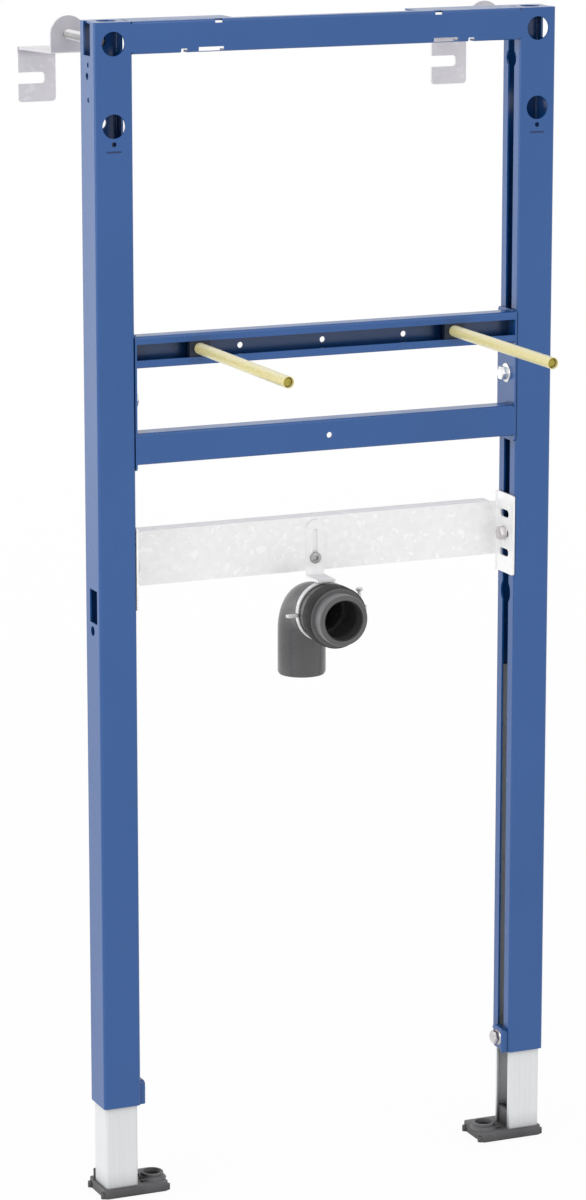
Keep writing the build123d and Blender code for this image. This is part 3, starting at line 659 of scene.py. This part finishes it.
bend = bmesh.new()
mouth = bmesh.ops.create_circle(bend, segments=BEND_SEGMENTS, radius=SOCKET_BORE,
                                matrix=Matrix.Translation((0, MOUTH_Y, 0)) @ FORWARD)
ring = list({edge for vert in mouth["verts"] for edge in vert.link_edges})
ring = along_pipe(bend, ring, (0, 0, 0), 1, [
    (MOUTH_Y, SOCKET_BORE), (MOUTH_Y, COLLAR_R - COLLAR_ROUND),
    (MOUTH_Y + COLLAR_ROUND / 3, COLLAR_R - COLLAR_ROUND / 3),
    (MOUTH_Y + COLLAR_ROUND, COLLAR_R), (COLLAR_Y - COLLAR_ROUND, COLLAR_R),
    (COLLAR_Y - COLLAR_ROUND / 3, COLLAR_R - COLLAR_ROUND / 3), (COLLAR_Y, COLLAR_R - COLLAR_ROUND),
    (COLLAR_Y, SOCKET_R), (SHOULDER_Y, SOCKET_R), (SOCKET_Y, PIPE_R), (TURN_Y, PIPE_R)])
ring = round_bend(bend, ring, -pi / 2)
outlet = (0, TURN_Y + TURN_R, 0)
ring = along_pipe(bend, ring, outlet, 2, [
    (-TURN_R, PIPE_R), (PIPE_END + 2 * RIM, PIPE_R), (PIPE_END, PIPE_R - RIM),
    (PIPE_END, PIPE_BORE + RIM / 2), (PIPE_END + RIM / 2, PIPE_BORE), (-TURN_R, PIPE_BORE)])
ring = round_bend(bend, ring, pi / 2)
ring = along_pipe(bend, ring, (0, 0, 0), 1, [
    (TURN_Y, PIPE_BORE), (SHOULDER_Y, PIPE_BORE), (SHOULDER_Y, SOCKET_BORE), (MOUTH_Y, SOCKET_BORE)])
bend_mesh = bmesh.new()
join(bend_mesh, bend, Matrix.Translation(waste_axis))
plastic = plastic_material("dark_moulded_plastic", PLASTIC_DARK, PLASTIC_GREY, 0.24, 0.35)
bend_piece = new_piece("moulded_bend", bend_mesh, plastic, "frame")
collar_rubber = plastic_material("collar_rubber", COLLAR_DARK, COLLAR_GREY, 0.60, 0.15)
bend_piece.data.materials.append(collar_rubber)
for face in bend_piece.data.polygons:
    if face.center.y < COLLAR_Y and (face.center - waste_axis).xz.length > SOCKET_R:
        face.material_index = 1
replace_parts(bend_piece, "waste_bend")

# Seal: a moulded ring pushed into the socket's mouth.
# Its bore takes the darker, rougher collar material and its front faces the darker bend plastic, both
# painted shade. Two lips in the bore hold the basin's waste pipe.

SEAL_R = 0.0265
SEAL_SKIRT_R = 0.0254
SEAL_LIP_R = 0.0201
SEAL_GROOVE_R = 0.0225
SEAL_ROUND = 0.0012
SEAL_DARK = (0.155, 0.151, 0.155, 1)
SEAL_GREY = (0.185, 0.181, 0.185, 1)

low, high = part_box("waste_seal")
depth = high.y - low.y
shown = MOUTH_Y - low.y
seal_outline = [
    (SEAL_SKIRT_R, 0), (SEAL_SKIRT_R, depth - shown), (SEAL_R, depth - shown), (SEAL_R, depth - SEAL_ROUND),
    (SEAL_R - SEAL_ROUND / 3, depth - SEAL_ROUND / 3), (SEAL_R - SEAL_ROUND, depth),
    (SEAL_LIP_R + SEAL_ROUND, depth), (SEAL_LIP_R, depth - SEAL_ROUND), (SEAL_LIP_R, 0.84 * depth),
    (SEAL_GROOVE_R, 0.72 * depth), (SEAL_LIP_R, 0.56 * depth), (SEAL_GROOVE_R, 0.44 * depth),
    (SEAL_LIP_R, 0.28 * depth), (SEAL_GROOVE_R, 0)]
seal_mesh = bmesh.new()
join(seal_mesh, turned(seal_outline, BEND_SEGMENTS, True),
     Matrix.Translation((0, high.y, waste_axis.z)) @ FORWARD)
seal_material = plastic_material("seal_rubber", SEAL_DARK, SEAL_GREY, 0.34, 0.5)
seal_piece = new_piece("lip_seal", seal_mesh, seal_material, "frame")
seal_piece.data.materials.append(collar_rubber)
seal_piece.data.materials.append(plastic)
for face in seal_piece.data.polygons:
    # Painted shade: faces in the bore take the darker collar material, faces looking forward the darker bend
    # plastic.
    if face.center.y > low.y + SEAL_ROUND / 4 and (face.center - waste_axis).xz.length < SEAL_GROOVE_R:
        face.material_index = 1
    elif face.normal.y < -0.5:
        face.material_index = 2
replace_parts(seal_piece, "waste_seal")

# Wall brackets: thick galvanised pressings on M10 spindles, whose flanged nuts seat on the uprights' backs.
# The spindle's end is riveted over behind the bracket's round tab, which is painted darker than the plate: a
# painted shadow from the upright.

NUT_FLANGE = 0.002
NUT_FLANGE_R = 0.015
NUT_R = 0.011
RIVET_R = 0.0075
RIVET_HEIGHT = 0.0018
BRACKET_DARK = (0.74, 0.715, 0.74, 1)
BRACKET_LIGHT = (0.77, 0.745, 0.77, 1)
BRACKET_GLINT = (0.83, 0.805, 0.83, 1)

bracket_shelf = (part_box("left_wall_bracket")[0].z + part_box("left_wall_bracket")[1].z) / 2
bracket_zinc = galvanised_material("bracket_zinc", BRACKET_DARK, BRACKET_LIGHT, BRACKET_GLINT, 240.0,
                                   bracket_shelf)
spindle_zinc = galvanised_material("spindle_zinc", grey(0.33), grey(0.38), grey(0.42), 400.0)
for side in ("left", "right"):
    low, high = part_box(side + "_wall_spindle")
    spindle_r = (high.x - low.x) / 2
    spindle_place = Matrix.Translation(((low.x + high.x) / 2, high.y, (low.z + high.z) / 2)) @ FORWARD
    spindle_mesh = bmesh.new()
    join(spindle_mesh, thread(spindle_r, ROD_ROOT, ROD_PITCH, high.y - low.y, ROD_TIP), spindle_place)
    join(spindle_mesh, turned([(0, -RIVET_HEIGHT), (0.5 * RIVET_R, -0.9 * RIVET_HEIGHT),
                               (0.85 * RIVET_R, -0.5 * RIVET_HEIGHT), (RIVET_R, 0), (0, 0)]), spindle_place)
    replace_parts(new_piece(side + "_spindle_thread", spindle_mesh, spindle_zinc, "frame"),
                side + "_wall_spindle")
    low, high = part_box(side + "_spindle_nut")
    nut_place = Matrix.Translation(((low.x + high.x) / 2, low.y, (low.z + high.z) / 2)) @ FORWARD.inverted()
    nut_mesh = bmesh.new()
    join(nut_mesh, turned([(0, 0), (NUT_FLANGE_R, 0), (NUT_FLANGE_R, NUT_FLANGE / 2), (NUT_R, NUT_FLANGE),
                           (0, NUT_FLANGE)]), nut_place)
    join(nut_mesh, hexagon(NUT_R, high.y - low.y, HEAD_EDGE, HEAD_DISH), nut_place)
    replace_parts(new_piece(side + "_flange_nut", nut_mesh, zinc, "frame"),
                side + "_spindle_nut")
    paint(bracket_zinc, side + "_wall_bracket")

# Legs: the same lipped channel one size smaller, in bright galvanised sheet, sliding in the uprights.
# Rolling leaves faint streaks along their length.

LEG_DARK = (0.72, 0.735, 0.75, 1)
LEG_LIGHT = (0.76, 0.775, 0.79, 1)
LEG_RECESS_SHADE = 0.03


def rolled_zinc_material():
    material, shader, place = new_material("rolled_zinc", 0.36, 0.25)
    along = material.node_tree.nodes.new("ShaderNodeMapping")
    along.inputs["Scale"].default_value = (1, 1, 0.012)
    material.node_tree.links.new(place, along.inputs["Vector"])
    streaks = noise(material, along.outputs["Vector"], 420.0, 3.0)
    tone = ramp(material, streaks, [(0.3, LEG_DARK), (0.7, LEG_LIGHT)])
    # The zinc is painted darker in recesses: painted shade.
    material.node_tree.links.new(painted_recess_shade(material, tone, LEG_RECESS_SHADE), shader.inputs["Base Color"])
    sheen = ramp(material, streaks, [(0.3, grey(0.30)), (0.7, grey(0.42))])
    material.node_tree.links.new(sheen, shader.inputs["Roughness"])
    bump(material, shader, streaks, 0.05, 0.0002)
    return material


paint(rolled_zinc_material(), "left_leg", "right_leg")

# Feet: injection-moulded plates in dark grey plastic that push into the legs' ends.
# Each has a raised boss round its floor bolt hole, with a countersunk top and low ribs to the leg.

FOOT_DARK = (0.122, 0.117, 0.123, 1)
FOOT_GREY = (0.156, 0.150, 0.157, 1)
FOOT_SHADE = 0.020
FOOT_PLATE = 0.010
BOSS_TOP = 0.0135
BOSS_RING_R = 0.0118
BOSS_RING_HEIGHT = 0.0030
BOSS_RING_EDGE = 0.0007
RING_DEPTH = 0.3 * BOSS_TOP
SINK_DEPTH = 0.1 * BOSS_TOP
FLOOR_HOLE_R = 0.0070
SINK_R = 0.0095
RIB_LENGTH = 0.016
RIB_WIDTH = 0.0022
RIB_HEIGHT = 0.0022
RIB_SPREAD = 0.009
RIB_ROUND = 0.3 * RIB_WIDTH


def foot_rib(place):
    """A low rib with rounded edges."""
    shape = bmesh.new()
    size = Matrix.Diagonal((RIB_LENGTH, RIB_WIDTH, RIB_HEIGHT, 1))
    bmesh.ops.create_cube(shape, size=1, matrix=place @ size)
    bmesh.ops.bevel(shape, geom=shape.edges[:], offset=RIB_ROUND, segments=2, profile=0.5, affect="EDGES",
                    material=-1)
    return shape


# The feet are painted darker in recesses: painted shade.
foot_plastic = plastic_material("foot_plastic", FOOT_DARK, FOOT_GREY, 0.48, 0.3, FOOT_SHADE)
hole_x = mounts["floor_bolts"]["dims"]["spacing_x_mm"] / 2000
for side, sign in (("left", -1), ("right", 1)):
    paint(foot_plastic, side + "_foot")
    boss = bmesh.new()
    centre = Matrix.Translation((sign * hole_x, 0, BOSS_TOP))
    join(boss, turned([(FLOOR_HOLE_R, -RING_DEPTH), (FLOOR_HOLE_R, -SINK_DEPTH), (SINK_R, BOSS_RING_HEIGHT),
                       (BOSS_RING_R - BOSS_RING_EDGE, BOSS_RING_HEIGHT),
                       (BOSS_RING_R, BOSS_RING_HEIGHT - BOSS_RING_EDGE),
                       (BOSS_RING_R, -RING_DEPTH)], ROUND_STEPS, True), centre)
    for spread in (-RIB_SPREAD, RIB_SPREAD):
        join(boss, foot_rib(Matrix.Translation((sign * (hole_x + RIB_LENGTH / 2), spread,
                                                FOOT_PLATE + RIB_HEIGHT / 2))))
    new_piece(side + "_boss_ring", boss, foot_plastic, side + "_leg_assembly")

# Leg clamps: short pressed hoods, coated blue, across the slots at the uprights' feet.
# A flange bolt goes through each into a nut inside the leg and holds the leg at its height.

LEG_FLANGE_R = 0.0085

for side in ("left", "right"):
    paint(coat, side + "_leg_clamp")
    slot_bolt(side + "_leg_hex_bolt", side + "_leg_clamp_bolt", LEG_FLANGE_R, darker_zinc)
    paint(zinc, side + "_leg_clamp_nut")

# Studio: a white floor that keeps a soft shadow, light from the left, white all round.
# It is the stage and not part of the object.

FLOOR_SIZE = 12.0
FLOOR_NEAR = 0.92
FLOOR_FAR = 1.0
FLOOR_REACH = 5.0
AMBIENT = 0.84
MIDDLE = (0, 0, 0.6)


def seen_rays(tree, links):
    """1 for rays from the camera, from reflections and through clear pieces, and 0 for light."""
    path = tree.new("ShaderNodeLightPath")
    seen = path.outputs["Is Camera Ray"]
    for kind in ("Is Glossy Ray", "Is Transmission Ray"):
        either = tree.new("ShaderNodeMath")
        either.operation = "MAXIMUM"
        links.new(seen, either.inputs[0])
        links.new(path.outputs[kind], either.inputs[1])
        seen = either.outputs[0]
    return seen


def studio_floor():
    """A wide floor that looks nearly white to the camera and still takes the shadow."""
    mesh = bmesh.new()
    bmesh.ops.create_grid(mesh, x_segments=1, y_segments=1, size=FLOOR_SIZE)
    data = bpy.data.meshes.new("floor")
    mesh.to_mesh(data)
    mesh.free()
    material, shader, place = new_material("white_floor", 0.9)
    tone = ramp(material, noise(material, place, 0.5), [(0.3, grey(0.90)), (0.7, grey(0.92))])
    links = material.node_tree.links
    links.new(tone, shader.inputs["Base Color"])
    tree = material.node_tree.nodes
    away = tree.new("ShaderNodeVectorMath")
    away.operation = "LENGTH"
    links.new(place, away.inputs[0])
    white = tree.new("ShaderNodeMapRange")
    white.inputs["From Max"].default_value = FLOOR_REACH
    white.inputs["To Min"].default_value = FLOOR_NEAR
    white.inputs["To Max"].default_value = FLOOR_FAR
    links.new(away.outputs["Value"], white.inputs["Value"])
    share = tree.new("ShaderNodeMath")
    share.operation = "MULTIPLY"
    links.new(seen_rays(tree, links), share.inputs[0])
    links.new(white.outputs["Result"], share.inputs[1])
    glow = tree.new("ShaderNodeEmission")
    blend = tree.new("ShaderNodeMixShader")
    links.new(share.outputs[0], blend.inputs["Fac"])
    links.new(shader.outputs["BSDF"], blend.inputs[1])
    links.new(glow.outputs["Emission"], blend.inputs[2])
    links.new(blend.outputs["Shader"], tree["Material Output"].inputs["Surface"])
    data.materials.append(material)
    floor = bpy.data.objects.new("floor", data)
    bpy.context.scene.collection.objects.link(floor)


def studio_world():
    """White to the camera, to reflections and through clear pieces, softer as light."""
    world = bpy.data.worlds.new("studio")
    bpy.context.scene.world = world
    world.use_nodes = True
    tree = world.node_tree.nodes
    links = world.node_tree.links
    backdrop = tree["Background"]
    backdrop.inputs["Color"].default_value = grey(1.0)
    level = tree.new("ShaderNodeMapRange")
    level.inputs["To Min"].default_value = AMBIENT
    links.new(seen_rays(tree, links), level.inputs["Value"])
    links.new(level.outputs["Result"], backdrop.inputs["Strength"])


def soft_box(name, place, aim, size, power):
    """An area lamp turned towards a point."""
    lamp = bpy.data.lights.new(name, "AREA")
    lamp.size = size
    lamp.energy = power
    lamp_object = bpy.data.objects.new(name, lamp)
    lamp_object.location = place
    lamp_object.rotation_euler = (Vector(aim) - Vector(place)).to_track_quat("-Z", "Y").to_euler()
    bpy.context.scene.collection.objects.link(lamp_object)


studio_floor()
studio_world()
soft_box("key", (-3.4, -1.0, 1.6), MIDDLE, 2.2, 28)
soft_box("top", (0.2, -2.2, 3.0), MIDDLE, 2.4, 14)
soft_box("edge", (-2.4, 2.6, 0.9), MIDDLE, 2.0, 16)

# Camera: a long lens at the photograph's angle, from the left and a little above.
# Its place, lens and turn were fitted to the frame's edges in the photograph.

LENS = 127.14
CAMERA_PLACE = (-1.71402, -3.87090, 1.54535)
CAMERA_DOWN = 12.522
CAMERA_LEFT = 23.492
camera_data = bpy.data.cameras.new("camera")
camera_data.lens = LENS
camera = bpy.data.objects.new("camera", camera_data)
camera.location = CAMERA_PLACE
camera.rotation_euler = (radians(90 - CAMERA_DOWN), 0, radians(-CAMERA_LEFT))
bpy.context.scene.collection.objects.link(camera)
bpy.context.scene.camera = camera
bpy.context.scene.view_settings.view_transform = "Standard"
